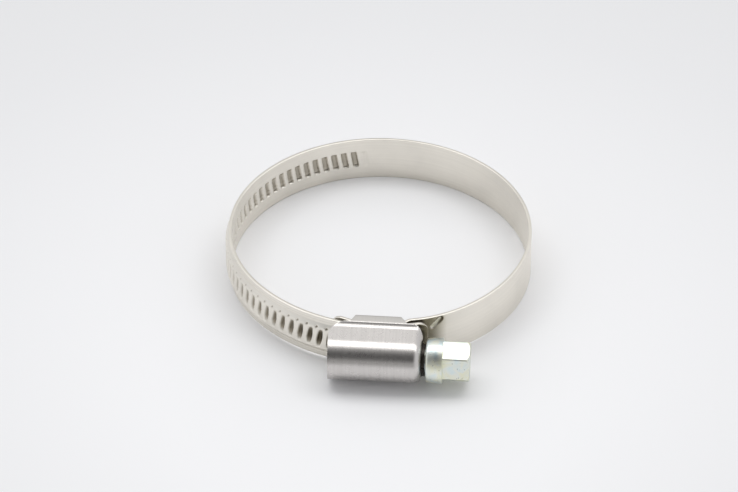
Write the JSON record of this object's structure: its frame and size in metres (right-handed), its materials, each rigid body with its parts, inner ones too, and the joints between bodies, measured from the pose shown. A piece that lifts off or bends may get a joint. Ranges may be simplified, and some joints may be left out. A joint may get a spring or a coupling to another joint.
{
  "type": "worm drive hose clamp",
  "caption": "Worm drive hose clamp with an embossed steel band, a stamped housing and a hexagon-headed screw.",
  "frame": {"origin": "centre of the clamped hose, at the middle of the band's width", "axes": "+Z along the hose; +X along the screw, towards its head; -Y from the hose towards the housing"},
  "size_m": [0.0578, 0.066, 0.0104],
  "materials": {
    "band_steel": "satin rolled stainless strip",
    "housing_steel": "satin stamped stainless sheet",
    "saddle_steel": "satin stamped stainless sheet",
    "zinc_plate": "bright zinc plating with a faint yellow and green tint"
  },
  "bodies": {
    "clamp": {"band": "band_steel", "housing": "housing_steel", "saddle": "saddle_steel"},
    "screw": {"screw": "zinc_plate"}
  },
  "joints": [
    {"name": "screw_turn", "type": "hinge", "parent": "clamp", "child": "screw", "pos_m": [0, -0.0333, 0], "axis": [1, 0, 0], "continuous": true, "deforming": ["band"]}
  ]
}
